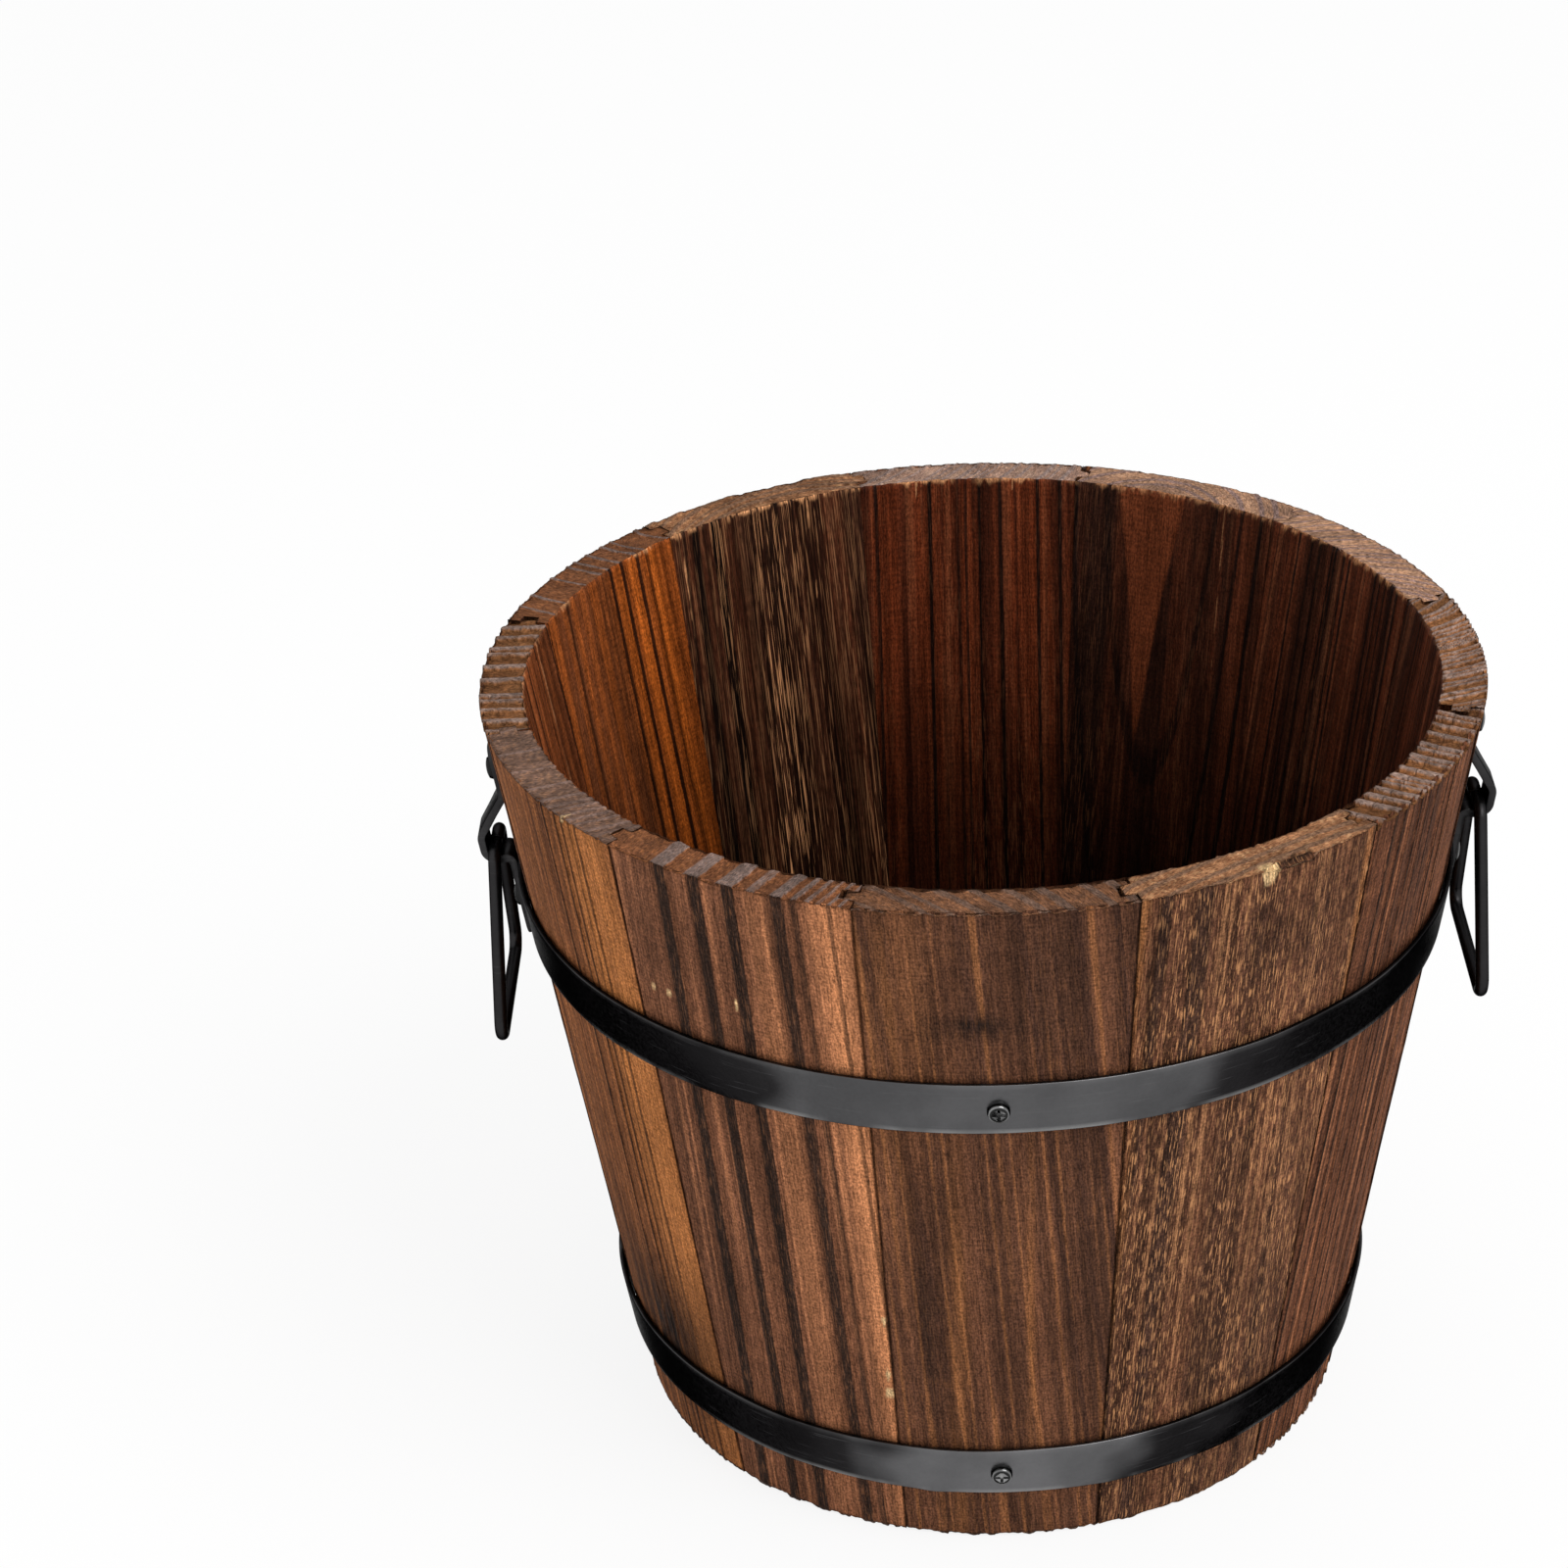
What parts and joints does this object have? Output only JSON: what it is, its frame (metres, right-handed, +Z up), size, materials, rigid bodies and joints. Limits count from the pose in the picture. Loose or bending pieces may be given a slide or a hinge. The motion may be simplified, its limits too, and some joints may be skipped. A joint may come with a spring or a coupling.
{
  "type": "flower pot",
  "caption": "Tapered round wooden flower pot of tongued and grooved staves with flat black iron hoops, a drained board base and swinging drop handles.",
  "frame": {"origin": "on the ground under the middle of the pot", "axes": "+Z up along the pot's axis, front toward -Y, handles at -X and +X"},
  "size_m": [0.3091, 0.2998, 0.24],
  "materials": {
    "stave_wood": "charred, brushed and oiled, with raised grain",
    "base_wood": "charred and brushed",
    "black_hoop": "satin black paint on flat iron",
    "black_iron": "satin black paint on forged iron",
    "black_screw": "glossy blackened screw"
  },
  "bodies": {
    "pot": {"base_board_back": "base_wood", "base_board_front": "base_wood", "base_board_middle": "base_wood", "left_bracket": "black_iron", "left_bracket_screws": "black_screw", "lower_hoop": "black_hoop", "lower_hoop_screws": "black_screw", "right_bracket": "black_iron", "right_bracket_screws": "black_screw", "stave_01": "stave_wood", "stave_02": "stave_wood", "stave_03": "stave_wood", "stave_04": "stave_wood", "stave_05": "stave_wood", "stave_06": "stave_wood", "stave_07": "stave_wood", "stave_08": "stave_wood", "stave_09": "stave_wood", "stave_10": "stave_wood", "stave_11": "stave_wood", "stave_12": "stave_wood", "upper_hoop": "black_hoop", "upper_hoop_screws": "black_screw"},
    "left_handle": {"left_bail": "black_iron"},
    "right_handle": {"right_bail": "black_iron"}
  },
  "joints": [
    {"name": "left_handle_swing", "type": "hinge", "parent": "pot", "child": "left_handle", "pos_m": [-0.14877, 0, 0.18302], "axis": [0, 1, 0], "range_deg": [-12, 174]},
    {"name": "right_handle_swing", "type": "hinge", "parent": "pot", "child": "right_handle", "pos_m": [0.14988, 0, 0.19002], "axis": [0, -1, 0], "range_deg": [-12, 174]}
  ]
}
